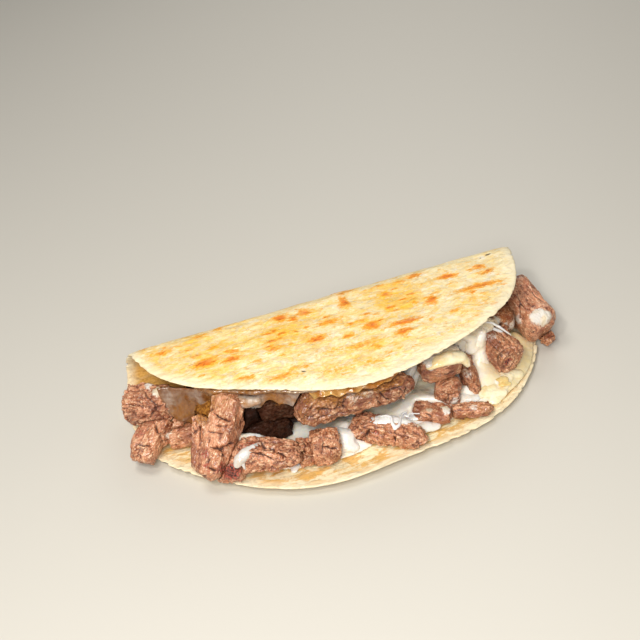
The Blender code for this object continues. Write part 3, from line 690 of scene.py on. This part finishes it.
def steak_look(name, coat, specular):
    look, mix, span, times, plus = start_look(name)
    grain = look.field("grain", vector=True)
    pit, char, melt, peak, brown, dark, glaze = look.fields("pit char melt peak brown dark glaze")
    fibre = look.noise(look.stretched(grain, (0.25, 1.2, 1.2)), 1, 4, 0.6, 0.3)
    patch = look.noise(grain, 0.16, 3, 0.55, 0.4)
    fleck = look.noise(grain, 1.05, 3, 0.65)
    grit = look.noise(look.stretched(grain, (0.8, 1.25, 1.25)), 1.3, 2, 0.6)
    pink = mix(span(patch, 0.35, 0.68), (216, 148, 110), (192, 120, 82))
    tan = mix(span(patch, 0.35, 0.68), (196, 127, 78), (164, 97, 54))
    tone = plus(brown, span(patch, 0.3, 0.7, -0.3, 0.3), clamp=True)
    base = mix(tone, pink, tan)
    # Painted shade in the relief's hollows, with dark flecks, then painted highlights on its peaks and in
    # pale glinting specks.
    low = plus(span(peak, 0.1, 0.5, 0.85, 0), span(fleck, 0.5, 0.36, 0, 0.4))
    base = mix(times(low, 0.9, clamp=True), base, (108, 50, 29))
    high = plus(span(peak, 0.5, 0.9, 0, 0.5), span(grit, 0.5, 0.64, -0.2, 0.5))
    base = mix(times(high, 1, clamp=True), base, (252, 212, 172))
    shade = look.noise(grain, 0.11, 3, 0.6, 0.6)
    shaded = times(span(shade, 0.5, 0.62, 0, 0.7), span(brown, 0, 0.5, 0.35, 1))
    base = mix(shaded, base, (128, 64, 42))
    # Painted shade in the cracks, seams, rings and cuts.
    base = mix(span(pit, 0.2, 0.85, 0, 0.94), base, (66, 24, 15))
    # Painted shade over whole strips that lie in shadow, in the hole behind the strips and under the
    # tortilla's lip.
    base = mix(dark, base, mix(tone, (54, 24, 12), (24, 10, 5)))
    # Golden brown grease, partly painted shade under the tortilla's lip.
    grease = mix(span(fleck, 0.4, 0.6), (186, 126, 52), (120, 70, 26))
    glaze_and_shade_amount = plus(glaze, span(fibre, 0.35, 0.65, -0.25, 0.15))
    base = mix(span(glaze_and_shade_amount, 0.25, 0.8, 0, 0.85), base, grease)
    burnt = mix(span(fleck, 0.42, 0.58), (40, 9, 8), (178, 86, 64))
    charred = plus(char, span(fleck, 0.35, 0.65, -0.25, 0.25))
    base = mix(span(charred, 0.3, 0.7), base, burnt)
    milky = mix(span(patch, 0.4, 0.65), (238, 234, 224), (230, 214, 182))
    melting = plus(melt, span(fleck, 0.3, 0.7, -0.14, 0.14))
    base = mix(span(melting, 0.3, 0.72, 0, 0.93), base, milky)
    look.set(Base_Color=base, Roughness=span(fleck, 0.35, 0.65, 0.32, 0.6))
    look.set(Specular_IOR_Level=specular, Coat_Weight=coat, Coat_Roughness=0.14)
    look.glow_within(0.06, (0.003, 0.0012, 0.0008))
    height = plus(times(fibre, 0.6), times(grit, 0.8))
    look.bump(height, 0.9, 0.001)
    return look.material


def cheese_look(kind):
    name, pale, warm, brown_amount = CHEESE_KINDS[kind]
    look, mix, span, times, plus = start_look(name)
    spot = look.stretched(look.field("spot", vector=True), (1, 1, STREAK_STRETCH.get(kind, 1)))
    broad = look.noise(spot, 0.11, 3, 0.55, 0.5)
    fine = look.noise(spot, 0.55, 3, 0.5)
    colour = mix(span(broad, 0.4, 0.62), pale, warm)
    greasy = times(look.field("browned"), brown_amount)
    greasy = plus(greasy, span(fine, 0.35, 0.7, -0.15, 0.02 + 0.15 * brown_amount), clamp=True)
    colour = mix(greasy, colour, BROWNING.get(kind, TOASTED_BROWN))
    look.set(Base_Color=colour, Roughness=span(fine, 0.3, 0.7, 0.14, 0.34))
    look.set(Coat_Weight=0.4, Coat_Roughness=0.08)
    look.glow_within(0.3, (0.004, 0.003, 0.002))
    look.bump(plus(broad, times(fine, 0.3)), 0.35, 0.0012)
    return look.material


def floor_look():
    look = Look("pale_floor")
    look.set(Base_Color=(*linear(*FLOOR_COLOUR), 1), Roughness=0.55)
    return look.material


# The tortilla.


def seeded_spots(seed, count, limits):
    """Rows of random numbers, one from each pair of limits."""
    chance = np.random.default_rng(seed)
    return [[chance.uniform(*pair) for pair in limits] for _ in range(count)]


def faint_spots():
    """Faint small spots between the strong ones on the upper half, stronger where it is golden."""
    spots = []
    for along, arc, strength, length, width in seeded_spots(19, FAINT_SPOTS, FAINT_LIMITS):
        near = 0
        for x, y, reach, height, amount in GOLDEN_AREAS:
            away = ((along - x) / reach) ** 2 + ((arc - y) / height) ** 2
            near = max(near, amount * math.exp(-away))
        spots.append((along, arc, length, width, strength + 0.55 * near))
    return spots


def spot_field(along, arc, spots, hard):
    """The strongest of several soft oval spots at each point of the sheet, all in millimetres."""
    flat = np.stack([along / 7, arc / 3, np.zeros_like(along)], -1).reshape(-1, 3)
    bend = layered(flat, 3, 5).reshape(along.shape)
    stray = layered(flat + 40, 3, 9).reshape(along.shape)
    total = np.zeros_like(along)
    for middle, height, half_length, half_width, strength in spots:
        away = ((along - middle + 1.8 * bend) / (1.15 * half_length)) ** 2
        away += ((arc - height + stray) / (1.5 * half_width)) ** 2
        total = np.maximum(total, strength * np.exp(-(away**hard)))
    return total


def closed_sheet(name, front, back, counts):
    """A closed mesh between two flat lists of points that each make a grid."""
    total = len(front)
    index = np.arange(total).reshape(counts)
    quads = np.stack([index[:-1, :-1], index[1:, :-1], index[1:, 1:], index[:-1, 1:]], -1).reshape(-1, 4)
    rim = np.array([*index[:, 0], *index[-1, 1:], *index[-2::-1, -1], *index[0, -2:0:-1]])
    after = np.roll(rim, -1)
    edge = np.stack([after, rim, rim + total, after + total], -1)
    faces = np.concatenate([quads, quads[:, ::-1] + total, edge])
    mesh = bpy.data.meshes.new(name)
    mesh.from_pydata(np.concatenate([front, back]).tolist(), [], faces.tolist())
    edit = bmesh.new()
    edit.from_mesh(mesh)
    bmesh.ops.recalc_face_normals(edit, faces=edit.faces)
    edit.to_mesh(mesh)
    edit.free()
    return mesh


def build_tortilla(material):
    x, y, share = square_to_disc(TORTILLA_CELLS)
    angle = np.arctan2(y, x)
    around = np.stack([np.cos(angle) * 9, np.sin(angle) * 9, 0 * angle], -1).reshape(-1, 3)
    notches = layered(around * 1.6, 3, 3).reshape(share.shape)
    ragged = (0.5 * notches - 1.3 * smoothstep(2.2 * notches - 0.3)) * MM * share**24
    reach = rim_radius(angle)
    x, s = x * (reach + ragged), y * (reach + ragged) - FOLD_TO_CENTRE
    half = TORTILLA_THICKNESS / 2 * (1 - RIM_THINNING * share**14)
    half = half * np.sqrt(np.clip(1.02 - share**60, 0, 1))
    along, arc = x / MM, s / MM
    hidden_spots = seeded_spots(7, HIDDEN_SPOTS, HIDDEN_LIMITS)
    toast = spot_field(along, arc, TOASTED_SPOTS + faint_spots() + hidden_spots, 0.9)
    golden = spot_field(along, arc, GOLDEN_AREAS, 0.8)
    golden = np.where(arc < BACK_EDGE, BACK_GOLDEN, golden)
    speck = spot_field(along, arc, [(*spot, 1) for spot in CHARRED_SPECKS], 1)
    flat = np.stack([along, arc, 0 * arc], -1).reshape(-1, 3)
    streak = layered(flat / (17, 4.2, 1), 3, 21).reshape(share.shape)
    pucker = layered(flat / (6, 2.4, 1), 2, 23).reshape(share.shape)
    relief = (0.34 * streak + 0.12 * pucker + 0.35 * toast) * MM
    relief *= smoothstep((1 - share) * 14) * smoothstep((s + FOLD_RADIUS) / FOLD_RADIUS)
    outer = sheet_point(x, s, -half - relief)
    inner = sheet_point(x, s, half - 0.7 * relief)
    outer[..., 2] = np.maximum(outer[..., 2], 0)
    mesh = closed_sheet("tortilla_sheet", outer.reshape(-1, 3), inner.reshape(-1, 3), share.shape)
    is_inner = np.repeat([0, 1], share.size)
    grease = smoothstep((arc - GREASE_START) / GREASE_BORDER)
    grease = np.clip(grease + 0.35 * spot_field(along, arc, [GREASE_PLACE], 1), 0, 1)
    fields = dict(along=along, arc=arc, toast=toast, golden=golden, share=share, speck=speck, grease=grease)
    fields = {name: np.tile(field.ravel(), 2) for name, field in fields.items()}
    fields["sheet"] = np.stack([fields.pop("along"), fields.pop("arc"), is_inner * INNER_SHIFT], -1)
    fields["inner"] = is_inner
    finished(new_object("tortilla_sheet", mesh), fields, material, "toasted_tortilla", "tortilla")


# Steak and cheese, from the solids' own shapes.


def voxelised(obj, voxel, smoothing):
    """Replaces an object's mesh with a fine even one, with its edges softened."""
    voxels = obj.modifiers.new("voxels", "REMESH")
    voxels.mode = "VOXEL"
    voxels.voxel_size = voxel
    soften = obj.modifiers.new("soften", "SMOOTH")
    soften.factor = 0.5
    soften.iterations = smoothing
    graph = bpy.context.evaluated_depsgraph_get()
    mesh = bpy.data.meshes.new_from_object(obj.evaluated_get(graph))
    obj.modifiers.clear()
    obj.data = mesh
    return mesh


def remeshed(node, name, voxel, smoothing):
    """A new object with a fine even mesh of a solid, its points in millimetres and its normals."""
    source = node.data.copy()
    source.transform(node.matrix_world)
    edit = bmesh.new()
    edit.from_mesh(source)
    bmesh.ops.remove_doubles(edit, verts=edit.verts, dist=0.001 * MM)
    edit.to_mesh(source)
    edit.free()
    obj = new_object(name, source)
    return obj, *surface_of(voxelised(obj, voxel, smoothing))


def grain_frame(points):
    """The middle of a piece and its own directions, longest first."""
    middle = points.mean(0)
    _, directions = np.linalg.eigh(np.cov((points - middle).T))
    directions = directions[:, ::-1]
    signs = np.sign(directions[np.abs(directions).argmax(0), range(3)])
    return middle, directions * signs


def places_field(points, places, ragged):
    """How strongly each point, in millimetres, lies within listed round places."""
    total = np.zeros(len(points))
    for x, y, z, reach, strength, *_ in places:
        away = distance(points, x, y, z) + ragged
        total = np.maximum(total, strength * smoothstep(1.5 - away / reach))
    return total


def cuts_field(points, outward, name):
    """Depth of the listed cuts of one piece, in millimetres, and how much shade is painted in them."""
    depth = np.zeros(len(points))
    shade = np.zeros(len(points))
    uneven = np.clip(0.85 + 0.7 * rough(points / 1.8, 77), 0.35, 1.4)
    for half_width, deep, line in STEAK_CUTS.get(name, ()):
        line = np.array(line, dtype=float)
        for number, (start, end) in enumerate(zip(line[:-1], line[1:])):
            along = end - start
            share = np.clip((points - start) @ along / (along @ along), 0, 1)
            away = points - start - share[:, None] * along
            above = (away * outward).sum(1)
            away -= 0.8 * above[:, None] * outward
            near = np.linalg.norm(away, axis=1)
            done = (number + share) / (len(line) - 1)
            size = (0.4 + 0.6 * smoothstep(5 * np.minimum(done, 1 - done))) * uneven
            fade = smoothstep((5 - np.abs(above)) / 2)
            near = near / (half_width * size)
            depth = np.maximum(depth, deep * size * fade * bell(near / 1.4))
            shade = np.maximum(shade, fade * bell(near))
    return depth, shade


def cracked(name, number, points, grain, warp):
    """How deep each point is in a crack between bundles or in a seam, up to 1, and each bundle's slope."""
    bundle_length, bundle_width, _, grainy, *_ = STEAK_FINISH[name]
    bundles = (grain + 1.3 * warp) / (bundle_length, bundle_width, bundle_width)
    first, second, facet = nearest_two(bundles, 100 + number)
    opened = smoothstep(1.3 * rough(points / 5, 200 + number) + 0.1)
    crack = 0.8 * bell((second - first) * bundle_width / CRACK_WIDTH) * opened
    seam = rough(grain / (8, 4.2, 4.2) + 0.18 * warp, 800 + number)
    seam = bell(seam / SEAM_WIDTH) * smoothstep(1.8 * rough(points / 6, 900 + number) + 0.45)
    return np.maximum(crack, 0.75 * min(1, grainy) * seam), facet


def grained(grainy, number, points, grain, warp, fibre):
    """The meat's fine relief: ridges and fibres along it, specks, and chips with gaps between them."""
    near, beyond, chip = nearest_two((grain + 0.5 * warp) / (3, 2, 2), 300 + number)
    ridge = 0.4 - np.abs(layered(grain / (6, 2.1, 2.1) + 0.12 * warp, 2, 400 + number))
    speck = rough(points / 1.1, 700 + number)
    pebbled = np.clip(grainy - 0.75, 0, 0.8)
    detail = grainy * (0.3 * ridge + 0.16 * fibre + 0.12 * speck) + (0.1 + 0.4 * pebbled) * chip
    return detail - 0.34 * pebbled * bell((beyond - near) / CHIP_GAP_WIDTH)


def ringed(name, points, warp, height, crack):
    """The height and the cracks of a strip with rings around its hole."""
    x, y, z, spacing, deep, reach = RINGED[name]
    away = np.linalg.norm((points - (x, y, z)) * (1, 1, 0.8), axis=1) + 0.8 * warp[:, 0]
    reached = smoothstep(1.6 - away / reach)
    ring = np.sin(away * 2 * math.pi / spacing) * reached
    height = height * (1 - 0.55 * reached) + deep * ring
    return height, np.maximum(crack * (1 - 0.4 * reached), 0.9 * smoothstep(-ring - 0.3))


def build_steak(node, name, number, material):
    *_, crack_depth, grainy, brown, dark = STEAK_FINISH[name]
    voxel = FILLING_VOXEL if name == "filling" else STEAK_VOXEL
    obj, points, outward = remeshed(node, f"steak_{name}_meat", voxel, STEAK_SMOOTHING)
    middle, directions = grain_frame(points)
    grain = (points - middle) @ directions
    warp = np.stack([2 * rough(points / 8, 40 + axis) + 0.8 * rough(points / 3.1, 50 + axis)
                     for axis in range(3)], -1)
    fibre = rough(grain / (4.5, 1, 1), 500 + number)
    lump = rough(points / 4.6, 600 + number)
    crack, facet = cracked(name, number, points, grain, warp)
    detail = grained(grainy, number, points, grain, warp, fibre)
    coarse = (0.18 * lump + 0.6 * facet) * min(1, grainy + 0.1)
    if name in SLICED:
        turn = (grain[:, 0] + 1.5 * warp[:, 0]) / SLICED[name]
        cut = np.abs(turn - np.round(turn)) * SLICED[name]
        crack = np.maximum(crack, 0.5 * bell(cut / SLICE_WIDTH))
        coarse -= 0.35 * bell(cut / SLICE_ROUNDING)
    split, pit = cuts_field(points + 0.35 * warp * (1, 1, 0.5), outward, name)
    crack = np.maximum(crack, pit)
    height = coarse + detail - np.maximum(0.8 * crack_depth * crack, split) - 0.15
    ragged = 1.6 * lump + 0.8 * fibre
    melt = places_field(points, CLINGING_CHEESE, ragged)
    for x, y, z, reach, strength, depth in CHARRED_PLACES:
        height -= depth * bell(distance(points, x, y, z) / reach)
    covered = smoothstep((melt - 0.3) / 0.4)
    height = height * (1 - covered) + (0.45 + 0.2 * lump) * covered
    if name in RINGED:
        height, crack = ringed(name, points, warp, height, crack)
    height = np.clip(height, -MOST_INWARD, MOST_OUTWARD)
    place(obj.data, points + outward * height[:, None])
    lit = places_field(points, LIT_FILLING, ragged) if name == "filling" else 0
    fields = {
        "grain": grain + GRAIN_SHIFT * number,
        "pit": np.clip(crack, 0, 1) * (1 - covered),
        # The relief's height, which sets the painted shade in hollows and the painted highlights on peaks.
        "peak": np.clip(0.5 + 2 * detail / grainy, 0, 1),
        "glaze": places_field(points, GREASE_AND_LIP_SHADE, ragged) * (1 - covered),
        "brown": np.full(len(points), brown),
        "dark": dark * (1 - lit) * np.ones(len(points)),
        "char": places_field(points, CHARRED_PLACES, ragged * 0.6),
        "melt": melt,
    }
    finished(obj, fields, material, "grilled_steak", "steak_" + name)


def build_pool(node, material):
    obj, points, outward = remeshed(node, "cheese_pool_melt", CHEESE_VOXEL, POOL_SMOOTHING)
    side = 1 - np.clip(-outward[:, 2], 0, 1)
    ripple = 0.28 * rough(points / 5.5, 11) + 0.1 * rough(points / 2.2, 12)
    swell = 0.55 * np.hypot(outward[:, 0], outward[:, 1])
    points = points + outward * ((ripple + swell) * side)[:, None]
    points[:, 2] += pool_rise(points) * smoothstep((points[:, 2] - 3.2) / 1.5)
    place(obj.data, points)
    start, width = POOL_YELLOWS
    fields = {"spot": points, "browned": smoothstep((points[:, 0] - start) / width)}
    finished(obj, fields, material, "melted_cheese", "cheese_pool")


def pool_rise(points):
    """How far the pool is drawn up between the strips, in millimetres."""
    rise = np.zeros(len(points))
    for x, y, reach, height in POOL_RISES:
        rise += height * bell(np.hypot(points[:, 0] - x, points[:, 1] - y) / reach)
    return rise


def build_roof(node, material):
    obj, points, outward = remeshed(node, "cheese_roof_melt", CHEESE_VOXEL, ROOF_SMOOTHING)
    ripple = 0.5 * rough(points / 4.5, 13) + 0.2 * rough(points / 1.9, 14)
    place(obj.data, points + outward * (ripple + 0.3)[:, None])
    fields = {"spot": points, "browned": np.clip(0.55 + 0.5 * rough(points / 9, 15), 0, 1)}
    finished(obj, fields, material, "melted_cheese", "cheese_roof")


def strand_mesh(name, flat, points, material):
    """A smooth closed form through points that each have a radius, all in millimetres."""
    points = np.array(points, dtype=float)
    steps = np.linspace(0, len(points) - 1, STRAND_STEPS * (len(points) - 1) + 1)
    dense = np.stack([np.interp(steps, range(len(points)), points[:, k]) for k in range(4)], -1)
    edit = bmesh.new()
    for x, y, z, radius in dense:
        where = Matrix.Translation(Vector((x, y, z)) * MM) @ Matrix.Diagonal((1, 1, flat, 1))
        bmesh.ops.create_icosphere(edit, subdivisions=2, radius=radius * MM, matrix=where)
    mesh = bpy.data.meshes.new(name)
    edit.to_mesh(mesh)
    edit.free()
    obj = new_object(name, mesh)
    smooth = voxelised(obj, STRAND_VOXEL, STRAND_SMOOTHING)
    spots, outward = surface_of(smooth)
    uneven = 0.22 * rough(spots / 2.6, 71) + 0.1 * rough(spots / 1.1, 72)
    uneven *= min(1, points[:, 3].max() / 2)
    place(smooth, spots + outward * uneven[:, None])
    finished(obj, {"spot": spots, "browned": np.zeros(len(spots))}, material, "melted_cheese")


def film_mesh(name, thickness, top_brown_and_shade, bottom_brown_and_shade, rows, material):
    """A thin closed sheet of cheese through rows of points, with a ragged lower edge."""
    rows = np.array(rows, dtype=float)
    down, across = rows.shape[:2]
    width = np.linalg.norm(np.diff(rows[0], axis=0), axis=1).sum()
    counts = FILM_ROWS * (down - 1) + 1, int(width / FILM_COLUMN)
    along = np.linspace(0, across - 1, counts[1])
    fall = np.linspace(0, down - 1, counts[0])
    wide = np.stack([[np.interp(along, range(across), row[:, k]) for k in range(3)] for row in rows])
    grid = np.stack([[np.interp(fall, range(down), wide[:, k, j]) for j in range(counts[1])]
                     for k in range(3)]).transpose(2, 1, 0)
    for _ in range(FILM_SMOOTHING):
        grid[1:-1] = (grid[:-2] + 2 * grid[1:-1] + grid[2:]) / 4
        grid[:, 1:-1] = (grid[:, :-2] + 2 * grid[:, 1:-1] + grid[:, 2:]) / 4
    flat = grid.reshape(-1, 3)
    share = np.repeat(fall / (down - 1), counts[1])
    sideways = np.tile(along / (across - 1), counts[0])
    flat[:, 2] += (2.2 * rough(flat * (0.16, 0.16, 0), 61) + 0.5 * rough(flat * (0.4, 0.4, 0), 62)) * share
    slope = np.cross(np.gradient(grid, axis=0), np.gradient(grid, axis=1)).reshape(-1, 3)
    slope /= np.linalg.norm(slope, axis=1, keepdims=True) + 1e-9
    fold = 1.3 * rough(flat * (0.19, 0.19, 0.14), 63) + 0.3 * rough(flat * (0.5, 0.5, 0.2), 64)
    fold += 0.16 * rough(flat * (1, 1, 0.35), 66)
    edge = np.minimum(np.minimum(sideways, 1 - sideways) * 6, 1.6 - share)
    half = thickness / 2 * np.clip(edge, 0.15, 1) ** 0.5 * (1 + 0.4 * rough(flat / 2.5, 65))
    front, back = flat + slope * (fold - half)[:, None], flat + slope * (fold + half)[:, None]
    mesh = closed_sheet(name, front * MM, back * MM, counts)
    # Browning from top to bottom, which also paints the shade that the film hangs in.
    browned = top_brown_and_shade + (bottom_brown_and_shade - top_brown_and_shade) * smoothstep(share * 1.2 + 0.4 * fold)
    fields = {"spot": np.concatenate([front, back]), "browned": np.clip(np.tile(browned, 2), 0, 1)}
    finished(new_object(name, mesh), fields, material, "melted_cheese")


# Camera, floor and light.


def add_light(name, place_at, size, power, colour):
    data = bpy.data.lights.new(name, "AREA")
    data.shape = "DISK"
    data.size = size
    data.energy = power
    data.color = colour
    obj = new_object(name, data)
    obj.location = place_at
    obj.rotation_euler = (Vector(LIT_PLACE) - Vector(place_at)).to_track_quat("-Z", "Y").to_euler()


def set_stage():
    scene = bpy.context.scene
    scene.view_settings.view_transform = "Standard"
    mesh = bpy.data.meshes.new("floor")
    ends = (-FLOOR_REACH, FLOOR_REACH)
    corners = [(x, y, 0) for y in ends for x in ends]
    mesh.from_pydata(corners, [], [(0, 1, 3, 2)])
    mesh.materials.append(floor_look())
    floor = new_object("floor", mesh)
    floor.location.z = -FLOOR_DROP
    world = bpy.data.worlds.new("studio")
    world.use_nodes = True
    sky = world.node_tree.nodes["Background"]
    sky.inputs["Color"].default_value = SKY_COLOUR
    sky.inputs["Strength"].default_value = SKY_STRENGTH
    scene.world = world
    for light in LIGHTS:
        add_light(*light)
    camera_data = bpy.data.cameras.new("camera")
    camera_data.lens = CAMERA_LENS
    camera_data.sensor_width = CAMERA_SENSOR
    camera_data.clip_start = 0.01
    camera = new_object("camera", camera_data)
    axes = Matrix((CAMERA_RIGHT, CAMERA_UP, [-value for value in CAMERA_FORWARD])).transposed().to_4x4()
    axes.translation = Vector(CAMERA_PLACE)
    camera.matrix_world = axes
    scene.camera = camera


def main():
    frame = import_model()
    nodes = frame["nodes"]
    build_tortilla(tortilla_look())
    # Strips deep in painted shade get a shaded copy of the steak material, with little coat and specular.
    meat, shaded_meat = steak_look("grilled_steak", 0.42, 0.5), steak_look("shaded_steak", 0.02, 0.1)
    for number, name in enumerate(STEAK_FINISH):
        deep_in_painted_shade = STEAK_FINISH[name][-1] > 0.5
        build_steak(nodes["steak_" + name], name, number, shaded_meat if deep_in_painted_shade else meat)
    cheeses = {kind: cheese_look(kind) for kind in CHEESE_KINDS}
    build_pool(nodes["cheese_pool"], cheeses["melted"])
    build_roof(nodes["cheese_roof"], cheeses["greasy"])
    for name, kind, flat, points in CHEESE_STRANDS:
        strand_mesh("cheese_" + name, flat, points, cheeses[kind])
    for name, kind, thickness, top_brown_and_shade, bottom_brown_and_shade, rows in CHEESE_FILMS:
        film_mesh("cheese_" + name, thickness, top_brown_and_shade, bottom_brown_and_shade, rows, cheeses[kind])
    set_stage()


main()
